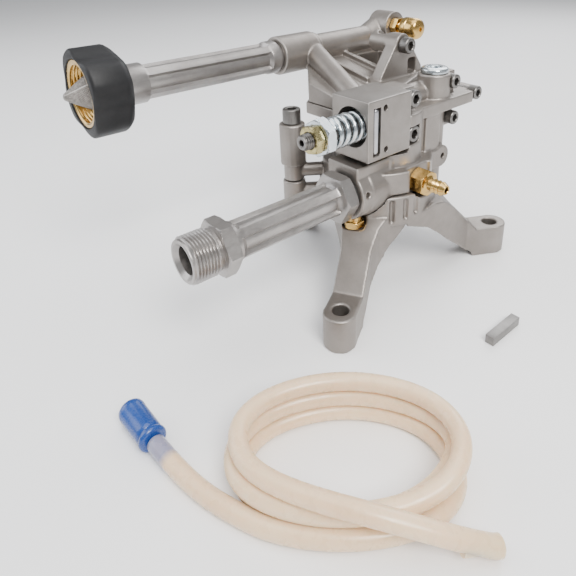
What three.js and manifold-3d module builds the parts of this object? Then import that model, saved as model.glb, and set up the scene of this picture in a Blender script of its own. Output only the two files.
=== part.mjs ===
// Vertical-shaft axial-cam pressure washer pump, standing on its three mounting feet.
// Frame: millimetres, +Z up, feet on z = 0, and the shaft axis is the Z axis.
// The inlet and outlet tubes point towards -Y, and the unloader block faces +X.
import * as THREE from 'three';
import { mergeVertices } from 'three/addons/utils/BufferGeometryUtils.js';
import Module from 'manifold-3d';

// ---------------------------------------------------------------- driving dimensions (mm)
const GAP = 0.3; // clearance between pieces that touch
const RUN = 0.08; // radial running clearance of a sliding or turning fit

const FEET = { ring: 74.5, angles: [-60, 60, 180], hole: 4.35, end: 8.4, pad: 76.1, height: 19, halfWidth: 8.2 };
const CASE = { radius: 33, under: 43, top: 60 };
const HUB = { radius: 27, bottom: 40, upper: 31, cavity: 26.6, floor: 47.4, bearingBore: 22.9, sealBore: 18.5 };
const SHAFT = { bore: 11.1, radius: 14.6, bottom: 39, top: 55.8, keyway: 4.8 };
const PLATE = { radius: 25, thickness: 3.6, tilt: 6, height: 52.3 };
const PISTON = { angles: [-106, 14, 134], ring: 17, radius: 5.5, foot: 7.6, footHeight: 2.5, rest: 57, top: 75.5 };
const SPRING = { radius: 6.7, wire: 0.7, turns: 3 };
const POCKET = { radius: 8.3, roof: 68, sealRadius: 7.9, sealTop: 71.6, boreTop: 79.5 };
const HEAD = { radius: 31, spigot: 26.3, bottom: 57 + GAP, seat: 60 + GAP, step: 73, upper: 24.5, deck: 94, top: 100.7 };
const VALVE = { places: [[-6.2, -18], [13, 10], [-12.8, 14]], pocket: 3.6, floor: 84, port: 2, radius: 3.3, height: 1.6 };
const COLUMNS = [[-28, -38.5], [-28, 38.5], [9.5, 36]];
const COLUMN_TOP = 93.5;

const INLET = { x: -62, z: 122.5, end: -136, collar: -104.5, ribsEnd: -29, sleeve: -22, sleeveEnd: 4.5 };
const OUTLET = { x: 11, z: 63.4, end: -130.5, hex: -115.5, collar: -106, blockHex: -37, seat: -29 };
const TUBE = { core: 6.9, rib: 8.8, ribWidth: 4.2, bore: 4.5 };
const THREAD = { radius: 11, bore: 6.6 };

const BLOCK = { x: [-1, 24.5], y: [-33.3, -1.8], z: [83, 114.4] };
const UNLOADER = { x: 12.7, z: 99.6, bore: 10.5, boreEnd: -8.5, stemEnd: -65.5, nut: -56.2, retainer: -50.8, seat: -18 };
const FACE = 20; // x of the front edge of the head's deck
const KNOB = { radius: 21.8, back: -116.5, lobes: 4, flute: 24, fluteReach: 41.4, firstFlute: 75, bore: 16.3 };
const PLUG = { at: [14, -32.5], flats: 10 };
const BARB = { y: 2.4, z: 64.6, seat: 27.3, end: 47 };
const RELIEF = { y: 69.5, z: 130, seat: -50 };
const HOSE = { radius: 3.7, centre: [91.2, -113.1], inner: [45, 25], outer: [46.5, 29], end: 21, angle: 49 };
const STACK = { front: 13.6, back: 22.2, from: -14, to: 15 }; // heights of the coil and where it rises
const STRAINER = { radius: 5.8, spigot: [34.2, -163], heading: 181, body: 22.5 };
const KEY = { size: 4.76, length: 24, at: [89, -1] };

// ---------------------------------------------------------------- materials
const finish = (color, roughness, metalness) => new THREE.MeshStandardMaterial({ color, roughness, metalness });
const CAST = finish(0x9a938b, 0.55, 0.8);
const TUBE_METAL = finish(0xa6a29e, 0.5, 0.8);
const ZINC = finish(0xcfd3d6, 0.3, 1);
const YELLOW_ZINC = finish(0xb09a4e, 0.35, 1);
const BRASS = finish(0xc9a24b, 0.35, 1);
const STEEL = finish(0x8d9094, 0.35, 1);
const DARK_STEEL = finish(0x46474a, 0.5, 0.9);
const BLACK_PLASTIC = finish(0x1d1d1f, 0.6, 0);
const RUBBER = finish(0x161616, 0.8, 0);
const MESH_GREY = finish(0x9b9b96, 0.5, 0.6);
const HOSE_AMBER = finish(0xe8c9a8, 0.3, 0);
const FILTER_BLUE = finish(0x1d4da6, 0.45, 0);

// ---------------------------------------------------------------- solid helpers
const wasm = await Module();
wasm.setup();

function toSolid(geometry) {
  const plain = geometry.clone();
  plain.deleteAttribute('normal');
  plain.deleteAttribute('uv');
  const merged = mergeVertices(plain, 1e-4);
  const vertProperties = new Float32Array(merged.attributes.position.array);
  const triVerts = new Uint32Array(merged.index.array);
  return new wasm.Manifold(new wasm.Mesh({ numProp: 3, vertProperties, triVerts }));
}

function toGeometry(solid) {
  const mesh = solid.getMesh();
  const geometry = new THREE.BufferGeometry();
  geometry.setAttribute('position', new THREE.BufferAttribute(mesh.vertProperties, 3));
  geometry.setIndex(new THREE.BufferAttribute(mesh.triVerts, 1));
  geometry.computeVertexNormals();
  return geometry;
}

// A box between two corners.
function block([x0, x1], [y0, y1], [z0, z1]) {
  const geometry = new THREE.BoxGeometry(x1 - x0, y1 - y0, z1 - z0);
  return toSolid(geometry.translate((x0 + x1) / 2, (y0 + y1) / 2, (z0 + z1) / 2));
}

// Turns a geometry made along +Z so that it runs along the named axis, then moves it.
const TO_AXIS = {
  x: (g) => g.rotateY(Math.PI / 2),
  y: (g) => g.rotateX(-Math.PI / 2),
  z: (g) => g,
};

// A round bar along an axis, from one station to another, centred on the other two coordinates.
function bar(axis, radius, from, to, [a, b], sides = 28, radiusTo = radius) {
  const geometry = new THREE.CylinderGeometry(radiusTo, radius, to - from, sides).rotateX(Math.PI / 2);
  geometry.translate(0, 0, (from + to) / 2);
  return placed(axis, geometry, [a, b]);
}

function placed(axis, geometry, [a, b]) {
  const turned = TO_AXIS[axis](geometry);
  const offset = { x: [0, a, b], y: [a, 0, b], z: [a, b, 0] }[axis];
  return toSolid(turned.translate(...offset));
}

// A turned piece: pairs of [radius, station] along the axis.
function turned(axis, profile, centre, sides = 30) {
  const points = profile.map(([radius, station]) => new THREE.Vector2(radius, station));
  return placed(axis, new THREE.LatheGeometry(points, sides).rotateX(Math.PI / 2), centre);
}

// A ring with a rectangular section.
function ring(axis, inner, outer, from, to, centre, sides = 30) {
  const profile = [[inner, from], [outer, from], [outer, to], [inner, to], [inner, from]];
  return turned(axis, profile, centre, sides);
}

// A hexagonal prism; flats is the size across the flats.
function hex(axis, flats, from, to, centre, turn = 0) {
  const geometry = new THREE.CylinderGeometry(flats / Math.sqrt(3), flats / Math.sqrt(3), to - from, 6);
  geometry.rotateX(Math.PI / 2).rotateZ(turn).translate(0, 0, (from + to) / 2);
  return placed(axis, geometry, centre);
}

// An outline in the plane across an axis, extruded between two stations along it.
// The outline's pairs are (x, y) for z, (y, z) for x and (x, z) for y.
function slab(axis, outline, from, to) {
  const shape = new THREE.Shape(outline.map(([a, b]) => new THREE.Vector2(a, b)));
  const geometry = new THREE.ExtrudeGeometry(shape, { depth: to - from, bevelEnabled: false });
  geometry.translate(0, 0, from);
  const matrix = new THREE.Matrix4();
  if (axis === 'x') matrix.set(0, 0, 1, 0, 1, 0, 0, 0, 0, 1, 0, 0, 0, 0, 0, 1);
  if (axis === 'y') matrix.set(1, 0, 0, 0, 0, 0, -1, 0, 0, 1, 0, 0, 0, 0, 0, 1);
  geometry.applyMatrix4(matrix);
  if (axis === 'y') geometry.translate(0, from + to, 0);
  return toSolid(geometry);
}

// A round bar between two points.
function strut(radius, start, end, sides = 24) {
  const a = new THREE.Vector3(...start);
  const b = new THREE.Vector3(...end);
  const geometry = new THREE.CylinderGeometry(radius, radius, a.distanceTo(b), sides);
  const turn = new THREE.Quaternion().setFromUnitVectors(new THREE.Vector3(0, 1, 0), b.clone().sub(a).normalize());
  geometry.applyQuaternion(turn).translate(...a.clone().add(b).multiplyScalar(0.5).toArray());
  return toSolid(geometry);
}

const union = (solids) => solids.reduce((sum, next) => sum.add(next));
const without = (solid, cuts) => cuts.reduce((left, next) => left.subtract(next), solid);
const polar = (radius, degrees) => [
  radius * Math.cos(THREE.MathUtils.degToRad(degrees)),
  radius * Math.sin(THREE.MathUtils.degToRad(degrees)),
];

const pump = new THREE.Group();

function addGeometry(name, geometry, material) {
  const mesh = new THREE.Mesh(geometry, material);
  mesh.name = name;
  pump.add(mesh);
  return mesh;
}

const add = (name, solid, material) => addGeometry(name, toGeometry(solid), material);

// ---------------------------------------------------------------- crankcase with its three legs
// One leg runs out along +X here and is then turned to its own angle. Seen from above it flares
// towards the case on both sides.
const LEG_SIDE = [
  [8, 44], [25, 50], [33, 48.5], [38, 45], [43, 40], [49, 33], [55, 26.5], [62, FEET.height], [FEET.pad, FEET.height],
  [FEET.pad, 0], [61, 0], [60, 3.2], [56, 5], [52, 9], [46, 14.5], [38, 21.5], [31, 28.5], [22, 36], [8, 41],
];
const NARROW_SIDE = [[8, 24], [22, 19], [30, 14], [37, 10.4], [46, FEET.halfWidth], [FEET.pad, FEET.halfWidth]];
const WIDE_SIDE = [[8, 31.5], [22, 27], [31, 23], [38, 19.5], [46, 15], [56, FEET.halfWidth], [FEET.pad, FEET.halfWidth]];
const LEG_POCKET = [[36, 60], [36, 42], [42, 32], [50, 21], [58, 17], [60, 26], [60, 60]];

// Seen along the leg towards the shaft, near is the side at lower angles about the shaft.
function leg(near, far, pocketed) {
  const plan = [...far, ...near.map(([x, y]) => [x, -y]).reverse()];
  const web = slab('y', LEG_SIDE, -32, 32).intersect(slab('z', plan, -1, 60));
  const pad = bar('z', FEET.end, 0, FEET.height, [FEET.pad, 0], 32);
  const cuts = [bar('z', FEET.hole, -1, FEET.height + 1, [FEET.ring, 0], 24)];
  if (pocketed) cuts.push(slab('y', LEG_POCKET, -5.6, 4.6));
  return without(web.add(pad), cuts);
}

function crankcase() {
  const wall = bar('z', CASE.radius, CASE.under, CASE.top, [0, 0], 60);
  const hub = bar('z', HUB.radius, HUB.bottom, CASE.under + 1, [0, 0], 40, HUB.upper);
  const columns = COLUMNS.map((centre) => bar('z', 6.4, CASE.under - 3, CASE.top, centre, 20));
  const links = COLUMNS.map(([x, y]) => strut(5, [x * 0.62, y * 0.62, 52], [x, y, 52], 12));
  const legs = [leg(NARROW_SIDE, NARROW_SIDE, false), leg(WIDE_SIDE, NARROW_SIDE, true), leg(WIDE_SIDE, WIDE_SIDE, true)];
  const stance = legs.map((solid, i) => solid.rotate([0, 0, FEET.angles[i]]));
  const holes = COLUMNS.map((centre) => bar('z', 3.1, CASE.under, CASE.top + 1, centre, 12));
  const slots = [[-32.5, 45.2], [-18.5, 46.4], [-6.5, 48]].map(([angle, from]) => {
    const centre = polar(CASE.radius - 0.2, angle);
    return strut(1.6, [...centre, from], [...centre, CASE.top - 1.5], 8);
  });
  return without(union([wall, hub, ...columns, ...links, ...stance]), [
    bar('z', HUB.cavity, HUB.floor, CASE.top + 1, [0, 0], 36),
    bar('z', HUB.bearingBore, HUB.bottom + 2, CASE.top, [0, 0], 36),
    bar('z', HUB.sealBore, HUB.bottom - 1, CASE.top, [0, 0], 36),
    bar('z', 6.6, CASE.under + 0.6, CASE.top + 1, PLUG.at, 24),
    bar('y', 15 + GAP, -60, -12 + GAP, [OUTLET.x, OUTLET.z], 32),
    bar('x', 8.5, 20, 40, [BARB.y, BARB.z], 28),
    ...holes, ...slots,
  ]);
}
add('crankcase', crankcase(), CAST);

// ---------------------------------------------------------------- shaft, bearing, seal and swash plate
function driveShaft() {
  const tube = bar('z', SHAFT.radius, SHAFT.bottom, SHAFT.top, [0, 0], 40);
  const disc = new THREE.CylinderGeometry(PLATE.radius, PLATE.radius, PLATE.thickness, 48);
  disc.rotateX(Math.PI / 2).rotateY(THREE.MathUtils.degToRad(PLATE.tilt)).translate(0, 0, PLATE.height);
  const depth = [SHAFT.bottom - 1, SHAFT.top - 2.4];
  const keyway = block([0, SHAFT.bore + 2], [-SHAFT.keyway / 2, SHAFT.keyway / 2], depth);
  return without(tube.add(toSolid(disc)), [bar('z', SHAFT.bore, ...depth, [0, 0], 40), keyway]);
}
add('drive_shaft', driveShaft(), STEEL);

const BEARING = { from: HUB.bottom + 2.2, to: HUB.floor - GAP, split: [17.6, 20] };
const bearingRing = (inner, outer, inset) =>
  ring('z', inner, outer, BEARING.from + inset, BEARING.to - inset, [0, 0], 36);
add('main_bearing_inner_race', bearingRing(SHAFT.radius + RUN, BEARING.split[0], 0), STEEL);
add('main_bearing_outer_race', bearingRing(BEARING.split[1], HUB.bearingBore - RUN, 0), STEEL);
add('main_bearing_cage', bearingRing(BEARING.split[0] + GAP, BEARING.split[1] - GAP, 1), STEEL);
const sealSpan = [HUB.bottom + 0.2, BEARING.from - GAP];
add('shaft_seal', ring('z', SHAFT.radius + RUN, HUB.sealBore - RUN, ...sealSpan, [0, 0], 40), RUBBER);

// ---------------------------------------------------------------- pistons, springs and seals
// A coil spring of round wire about a line along Z.
class Helix extends THREE.Curve {
  constructor(radius, turns, from, to) {
    super();
    Object.assign(this, { radius, turns, from, to });
  }

  getPoint(t, target = new THREE.Vector3()) {
    const angle = t * this.turns * 2 * Math.PI;
    const height = THREE.MathUtils.lerp(this.from, this.to, t);
    return target.set(this.radius * Math.cos(angle), this.radius * Math.sin(angle), height);
  }
}

function coilSpring(radius, wire, turns, from, to) {
  const section = new THREE.Shape();
  section.absarc(0, 0, wire, 0, 2 * Math.PI);
  const extrudePath = new Helix(radius, turns, from + wire, to - wire);
  return new THREE.ExtrudeGeometry(section, { steps: turns * 11, curveSegments: 3, extrudePath, bevelEnabled: false });
}

const pistonPlaces = PISTON.angles.map((angle) => polar(PISTON.ring, angle));

pistonPlaces.forEach(([x, y], i) => {
  const footTop = PISTON.rest + PISTON.footHeight;
  const foot = bar('z', PISTON.foot, PISTON.rest, footTop, [x, y], 24);
  const rod = bar('z', PISTON.radius, PISTON.rest, PISTON.top, [x, y], 24);
  add(`piston_${i + 1}`, foot.add(rod), STEEL);
  const coil = coilSpring(SPRING.radius, SPRING.wire, SPRING.turns, footTop + GAP, POCKET.roof - GAP);
  addGeometry(`piston_spring_${i + 1}`, coil, STEEL).position.set(x, y, 0);
  const sealHeights = [POCKET.roof + GAP, POCKET.sealTop - GAP];
  const seal = ring('z', PISTON.radius + RUN, POCKET.sealRadius - RUN, ...sealHeights, [x, y], 24);
  add(`piston_seal_${i + 1}`, seal, RUBBER);
});

// ---------------------------------------------------------------- cylinder head with the outlet body
const DECK_OUTLINE = [
  [FACE, 7], [FACE, 61], [13.7, 62], [13.7, 73], [4, 74], [-14, 66], [-40, 66], [-56, 44], [-56, 6],
  [-34, -23], [-4, -23], [-1.6, 7],
];
const HEAD_SCREW_PLACES = [[3.2, 108.6], [3.2, 89.4], [43.3, 109.6], [66.3, 98.4], [44.2, 88]];

function outletBody() {
  const { x, z } = OUTLET;
  const barrel = bar('y', 15, OUTLET.seat, -12, [x, z], 48);
  const shoulder = block([x - 12, 21], [-37, -12], [z, 80]).add(block([x - 12, 22], [-13, 12], [HEAD.seat, 78]));
  const nose = bar('y', 14.5, -37, OUTLET.seat, [x, z], 48);
  const flat = block([14, BARB.seat - GAP], [-6, 11], [HEAD.seat, z + 9]);
  return union([barrel, shoulder, nose, flat]);
}

function cylinderHead() {
  const drum = turned('z', [
    [0, HEAD.bottom], [HEAD.spigot, HEAD.bottom], [HEAD.spigot, HEAD.seat], [HEAD.radius, HEAD.seat],
    [HEAD.radius, HEAD.step], [HEAD.upper, HEAD.step], [HEAD.upper, HEAD.top], [0, HEAD.top],
  ], [0, 0], 60);
  const deck = slab('z', DECK_OUTLINE, HEAD.deck, HEAD.top);
  const columns = COLUMNS.map((centre) => bar('z', 7.2, 70, COLUMN_TOP, centre, 18));
  const shanks = COLUMNS.map((centre) => bar('z', 5.6, HEAD.seat, 71, centre, 12));
  const links = COLUMNS.flatMap(([x, y]) => [
    strut(6.5, [x * 0.5, y * 0.5, 84], [x, y, 84], 12),
    strut(4, [x * 0.5, y * 0.5, 65.4], [x, y, 65.4], 12),
  ]);
  const pillars = [[8.5, 12.5], [19, 32]].map((span) => block([0, FACE - 1], span, [HEAD.seat, HEAD.deck + 1]));
  const ear = block([-2, FACE], [10, 34], [HEAD.seat, 72]).add(bar('x', 6.6, 13, FACE, [33.8, 67], 18));
  const capBoss = bar('z', 9.5, HEAD.top - 1, 114.6, COLUMNS[2], 28);
  const lugs = [
    block([2, 13.7], [37, 50], [HEAD.top - 1, 114.6]),
    block([-4, 13.7], [38, 50], [82, HEAD.deck + 1]),
    block([2, 17.5], [-1.4, 9], [84, 113.5]),
  ];
  const gallery = bar('y', 6.5, -1.4, 30, [6, 104], 18);
  const body = union([
    drum, deck, ...columns, ...shanks, ...links, ...pillars, ear, capBoss, ...lugs, gallery, outletBody(),
  ]);
  const cylinders = pistonPlaces.flatMap((place) => [
    bar('z', POCKET.radius, HEAD.bottom - 1, POCKET.roof, place, 22),
    bar('z', POCKET.sealRadius, POCKET.roof - 1, POCKET.sealTop, place, 22),
    bar('z', PISTON.radius + RUN, POCKET.sealTop - 1, POCKET.boreTop, place, 22),
  ]);
  const valvePockets = VALVE.places.flatMap((place, i) => [
    bar('z', VALVE.pocket, VALVE.floor, i === 1 ? 95 : HEAD.top + 1, place, 12),
    bar('z', VALVE.port, POCKET.boreTop - 1, VALVE.floor + 1, place, 12),
  ]);
  const discharge = bar('y', 1.8, -3, VALVE.places[1][1], [VALVE.places[1][0], 94.2], 12);
  const screwHoles = COLUMNS.map((centre) => bar('z', 3.3, HEAD.seat - 1, COLUMN_TOP + 1, centre, 12));
  const wells = COLUMNS.slice(1).map((centre) => bar('z', 5.6, COLUMN_TOP, 120, centre, 12));
  const headRooms = [[43.3, 109.6], [44.2, 88]].map((place) => bar('x', 4.5, 13.7, 30, place, 12));
  const unloaderRoom = block([BLOCK.x[0] - GAP, 40], [-60, BLOCK.y[1] + GAP], [BLOCK.z[0] - 2.4, 130]);
  return without(body, [
    ...cylinders, ...valvePockets, discharge, ...screwHoles, ...wells, ...headRooms, unloaderRoom,
    block([BARB.seat - GAP, 40], [-6.5, 11.5], [54, 74]),
    block([17.5, 30], [-2, 8.5], [84, HEAD.deck]),
    block([17, 30], [12.5, 19], [74, HEAD.deck]),
    bar('z', HUB.cavity + GAP, CASE.under, HEAD.bottom, [0, 0], 36),
    bar('y', 8.6, -60, -27.6, [OUTLET.x, OUTLET.z], 22),
    bar('y', 4, -28, -8, [OUTLET.x + 2, OUTLET.z + 4], 12),
    bar('x', 4.4, BARB.seat - 1.9, BARB.seat + 1, [BARB.y, BARB.z], 12),
    bar('z', 4.6, 40, 54, PLUG.at, 12),
    ...HEAD_SCREW_PLACES.map((place) => bar('x', 2.7, 3.5, 18, place, 12)),
    bar('x', 1.6, 22, 30, [-33, 66], 12),
    bar('x', 1.7, 10, FACE + 1, [34.8, 67], 12),
  ]);
}
add('cylinder_head', cylinderHead(), CAST);

VALVE.places.forEach((place, i) => {
  const base = VALVE.floor + GAP;
  add(`discharge_valve_${i + 1}`, bar('z', VALVE.radius, base, base + VALVE.height, place, 20), STEEL);
});

// ---------------------------------------------------------------- inlet manifold on the deck
const BRACKET = { x: [-22, -14], bolt: [36, 127] };

function inletManifold() {
  const { x, z } = INLET;
  const pipe = bar('y', 8.6, INLET.sleeve, 62, [x, z], 44);
  const sleeve = bar('y', 11.2, INLET.sleeve, INLET.sleeveEnd, [x, z], 48);
  const collar = bar('y', 10.2, INLET.sleeveEnd - 1, 8, [x, z], 48);
  const footprint = [[-66, 6], [-52, -6], [-32, -22.5], [-4, -22.5], [-2, -2], [-2, 20], [-14, 58], [-66, 62]];
  const bodyTop = slab('z', footprint, HEAD.top + GAP, z);
  const slope = slab('y', [[-90, 150], [-90, 118], [x, 118], [10, 103.5], [10, 150]], -80, 90);
  const ribs = [[8, 11], [26, 29]].map(([from, to]) => slab('y', [[x, 104], [x, 121], [-16, 112], [-16, 104]], from, to));
  const recess = block([-52, -22], [36, 56], [104, 150]);
  const notch = block([-30, 10], [12, 34], [112, 150]);
  const passage = strut(6.5, [-58, 3, z], [-4, -14, 107]);
  const outline = [[17, 101], [17, 110], [31, 130], [36, 133], [41, 130], [54, 112], [54, 101]];
  const bracket = slab('x', outline, ...BRACKET.x);
  const hub = bar('x', 6.5, -36, BRACKET.x[1], BRACKET.bolt, 22);
  const window = block([BRACKET.x[0] - 1, BRACKET.x[1] + 1], [41, 48], [109, 118]);
  const reliefBoss = bar('x', 9.5, x - 4, RELIEF.seat, [RELIEF.y, RELIEF.z], 36);
  const neck = strut(9, [x, 55, z], [x, RELIEF.y, RELIEF.z - 1]);
  const bulk = without(bodyTop, [slope, recess, notch]);
  const bore = bar('y', 8.2, INLET.sleeve - 1, -4, [x, z], 22);
  const room = block([BLOCK.x[0] - GAP, 40], [-60, BLOCK.y[1] + GAP], [80, 130]);
  const boltHole = bar('x', 3.2, -30, 0, BRACKET.bolt, 16);
  return without(union([pipe, sleeve, collar, bulk, ...ribs, passage, bracket, hub, reliefBoss, neck]), [
    window, bore, bar('y', 5, -5, 50, [x, z], 16), room, boltHole,
    bar('x', 4.2, RELIEF.seat - 8, RELIEF.seat + 1, [RELIEF.y, RELIEF.z], 16),
    bar('z', 9.5 + GAP, 90, 130, COLUMNS[2], 28),
    bar('z', 6, 90, 150, COLUMNS[1], 16),
    block([2 - GAP, 30], [37 - GAP, 51], [100, 116]),
    block([-1, 20], [-3, 31], [HEAD.top, 111.2]),
  ]);
}
add('inlet_manifold', inletManifold(), CAST);

// ---------------------------------------------------------------- unloader valve
function unloaderBlock() {
  const body = block(BLOCK.x, BLOCK.y, BLOCK.z);
  const slot = block([BLOCK.x[1] - 3.6, BLOCK.x[1] + 1], [-29.4, -24.2], [85.5, 110.5]);
  const dimples = [[-21, 109.5], [-20, 87.5]].map((place) => bar('x', 1.6, BLOCK.x[1] - 3, BLOCK.x[1] + 1, place, 12));
  const bore = bar('y', UNLOADER.bore, BLOCK.y[0] - 1, UNLOADER.boreEnd, [UNLOADER.x, UNLOADER.z], 30);
  return without(body, [slot, ...dimples, bore]);
}
add('unloader_block', unloaderBlock(), CAST);
add('unloader_retaining_pin', bar('z', 1.7, 86, 110, [BLOCK.x[1] - 1.8, -26.8], 16), ZINC);

// The stem, its nuts and the spring share one axis along Y. y values run outwards to -Y.
const unloaderAxis = [UNLOADER.x, UNLOADER.z];

function unloaderStem() {
  const rod = bar('y', 4, UNLOADER.stemEnd, -16, unloaderAxis, 20);
  const piston = bar('y', 9.8, UNLOADER.seat + GAP, -12, unloaderAxis, 30);
  const socket = hex('y', 3, UNLOADER.stemEnd - 1, UNLOADER.stemEnd + 4, unloaderAxis);
  return without(rod.add(piston), [socket]);
}
add('unloader_stem', unloaderStem(), DARK_STEEL);

function nut(flats, bore, from, to, centre, turn = 0) {
  return hex('y', flats, from, to, centre, turn).subtract(bar('y', bore, from - 1, to + 1, centre, 20));
}
const stemBore = 4 + RUN;
add('unloader_lock_nut', nut(13, stemBore, -61, UNLOADER.nut - GAP, unloaderAxis, 0.3), YELLOW_ZINC);
add('unloader_spring_retainer', nut(17, stemBore, UNLOADER.nut, UNLOADER.retainer, unloaderAxis), ZINC);

const seatSpan = [UNLOADER.seat - 1.7, UNLOADER.seat];
add('unloader_spring_seat', ring('y', stemBore, UNLOADER.bore - RUN, ...seatSpan, unloaderAxis, 20), ZINC);

function unloaderSpring() {
  const coil = coilSpring(6.8, 1.4, 6, UNLOADER.retainer + GAP, UNLOADER.seat - 2);
  return coil.rotateX(-Math.PI / 2).translate(UNLOADER.x, 0, UNLOADER.z);
}
addGeometry('unloader_spring', unloaderSpring(), ZINC);

// ---------------------------------------------------------------- inlet and outlet tubes
function ribbedTube(from, to, centre) {
  const core = bar('y', TUBE.core, from, to, centre, 22);
  const ribs = [45, 135].map((angle) => {
    const rib = block([-TUBE.rib, TUBE.rib], [from, to], [-TUBE.ribWidth / 2, TUBE.ribWidth / 2]);
    return rib.rotate([0, angle, 0]).translate([centre[0], 0, centre[1]]);
  });
  return union([core, ...ribs]);
}

function outletTube() {
  const centre = [OUTLET.x, OUTLET.z];
  const body = union([
    turned('y', [
      [0, OUTLET.end], [THREAD.radius - 1, OUTLET.end], [THREAD.radius, OUTLET.end + 1],
      [THREAD.radius, OUTLET.hex], [0, OUTLET.hex],
    ], centre),
    hex('y', 24, OUTLET.hex - 0.5, OUTLET.hex + 7, centre, Math.PI / 6),
    bar('y', 9.6, OUTLET.hex + 6, OUTLET.collar + 4, centre, 24),
    ribbedTube(OUTLET.collar, OUTLET.blockHex - 8, centre),
    hex('y', 24, OUTLET.blockHex - 9, OUTLET.blockHex - 1.5, centre, Math.PI / 6),
    bar('y', 8.3, OUTLET.blockHex - 2, -28, centre, 22),
  ]);
  return without(body, [
    bar('y', THREAD.bore, OUTLET.end - 1, OUTLET.end + 22, centre, 22),
    bar('y', TUBE.bore, OUTLET.end, 0, centre, 16),
  ]);
}
add('outlet_tube', outletTube(), TUBE_METAL);
add('outlet_washer', ring('y', 8.4, 11.5, OUTLET.blockHex - 1.2, OUTLET.blockHex - GAP, [OUTLET.x, OUTLET.z]), RUBBER);

function inletTube() {
  const centre = [INLET.x, INLET.z];
  const body = union([
    bar('y', 13.2, KNOB.back - 8, KNOB.back - 4.3, centre, 28),
    bar('y', 10, KNOB.back - 5, INLET.collar, centre, 28),
    ribbedTube(INLET.collar - 1, INLET.ribsEnd, centre),
    bar('y', 9.4, INLET.ribsEnd - 0.5, INLET.sleeve - 2, centre, 24),
    bar('y', 8.1, INLET.sleeve - 3, -5, centre, 22),
  ]);
  return without(body, [bar('y', 5.2, KNOB.back - 10, 0, centre, 18)]);
}
add('inlet_tube', inletTube(), TUBE_METAL);

// ---------------------------------------------------------------- garden hose coupling
const inletAxis = [INLET.x, INLET.z];
const KNOB_FRONT = INLET.end;

function inletKnob() {
  const profile = [
    [0, KNOB_FRONT], [KNOB.radius - 2, KNOB_FRONT], [KNOB.radius - 0.5, KNOB_FRONT + 1.5],
    [KNOB.radius - 0.5, KNOB.back - 3], [KNOB.radius - 3, KNOB.back], [0, KNOB.back],
  ];
  const flutes = Array.from({ length: KNOB.lobes }, (_, i) => {
    const [x, z] = polar(KNOB.fluteReach, KNOB.firstFlute + (i * 360) / KNOB.lobes);
    return bar('y', KNOB.flute, KNOB_FRONT - 1, KNOB.back + 1, [INLET.x + x, INLET.z + z], 72);
  });
  return without(turned('y', profile, inletAxis, 48), [
    ...flutes,
    bar('y', KNOB.bore, KNOB_FRONT - 1, KNOB.back - 3.7, inletAxis, 30),
    bar('y', 10.4, KNOB_FRONT, KNOB.back + 1, inletAxis, 24),
  ]);
}
add('inlet_knob', inletKnob(), BLACK_PLASTIC);
const insertSpan = [KNOB_FRONT + 0.6, KNOB.back - 8.4];
add('inlet_thread_insert', ring('y', 13.6, KNOB.bore - RUN, ...insertSpan, inletAxis, 30), BRASS);
const FILTER_SEAT = KNOB.back - 8 - GAP;
add('inlet_washer', ring('y', 7, 13.2, FILTER_SEAT - 2.4, FILTER_SEAT, inletAxis, 28), RUBBER);

function inletFilter() {
  const base = FILTER_SEAT - 2.4 - GAP;
  const tip = KNOB_FRONT - 7;
  return turned('y', [
    [5, base], [11.6, base], [11.6, base - 1.2], [9.6, base - 1.2], [1.6, tip], [0, tip], [0, tip + 2],
    [8.2, base - 1.2], [5, base - 1.2], [5, base],
  ].reverse(), inletAxis, 24);
}
add('inlet_filter', inletFilter(), MESH_GREY);

// ---------------------------------------------------------------- relief valve, injector and plugs
const reliefAxis = [RELIEF.y, RELIEF.z];
add('relief_valve_body', union([
  bar('x', 4.1, RELIEF.seat - 7, RELIEF.seat + 1, reliefAxis, 16),
  hex('x', 11, RELIEF.seat + GAP, RELIEF.seat + 5.5, reliefAxis),
  bar('x', 3.4, RELIEF.seat + 5, RELIEF.seat + 8, reliefAxis, 16),
]), BRASS);
add('relief_valve_cap', turned('x', [
  [0, RELIEF.seat + 8 + GAP], [6.3, RELIEF.seat + 8 + GAP], [6.8, RELIEF.seat + 9.4], [6.8, RELIEF.seat + 18],
  [6, RELIEF.seat + 20], [3.5, RELIEF.seat + 21.2], [0, RELIEF.seat + 21.6],
], reliefAxis, 24), BRASS);

function injector() {
  const axis = [BARB.y, BARB.z];
  const hexEnd = BARB.seat + 8.5;
  const barbs = [0, 1, 2].flatMap((i) => {
    const start = hexEnd + 3.6 + i * 2.4;
    return [[3.9, start], [3.1, start + 2.2]];
  });
  return union([
    bar('x', 4.1, BARB.seat - 1.6, BARB.seat + 1, axis, 16),
    hex('x', 13, BARB.seat, hexEnd, axis, Math.PI / 6),
    turned('x', [[0, hexEnd - 1], [4.6, hexEnd - 1], [3.1, hexEnd + 3.4], ...barbs, [2.6, BARB.end], [0, BARB.end]], axis, 18),
  ]).subtract(bar('x', 1.7, BARB.end - 16, BARB.end + 1, axis, 12));
}
add('injector_barb', injector(), BRASS);

add('outlet_body_plug', union([
  hex('z', PLUG.flats, OUTLET.z - 19.2, OUTLET.z - 15 - GAP, PLUG.at),
  bar('z', 4.2, OUTLET.z - 16, OUTLET.z - 11, PLUG.at, 16),
]), BRASS);

// ---------------------------------------------------------------- socket screws
function socketScrew(axis, head, headHeight, shank, from, seat, centre) {
  const sunk = hex(axis, head * 0.98, seat + headHeight * 0.45, seat + headHeight + 1, centre);
  return bar(axis, head, seat, seat + headHeight, centre, 18)
    .add(bar(axis, shank, from, seat + 0.5, centre, 16))
    .subtract(sunk);
}
COLUMNS.forEach((centre, i) => {
  const screw = socketScrew('z', 5, 8, 3 - RUN, CASE.under + 1, COLUMN_TOP + GAP, centre);
  add(`head_screw_${i + 1}`, screw, DARK_STEEL);
});

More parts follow.
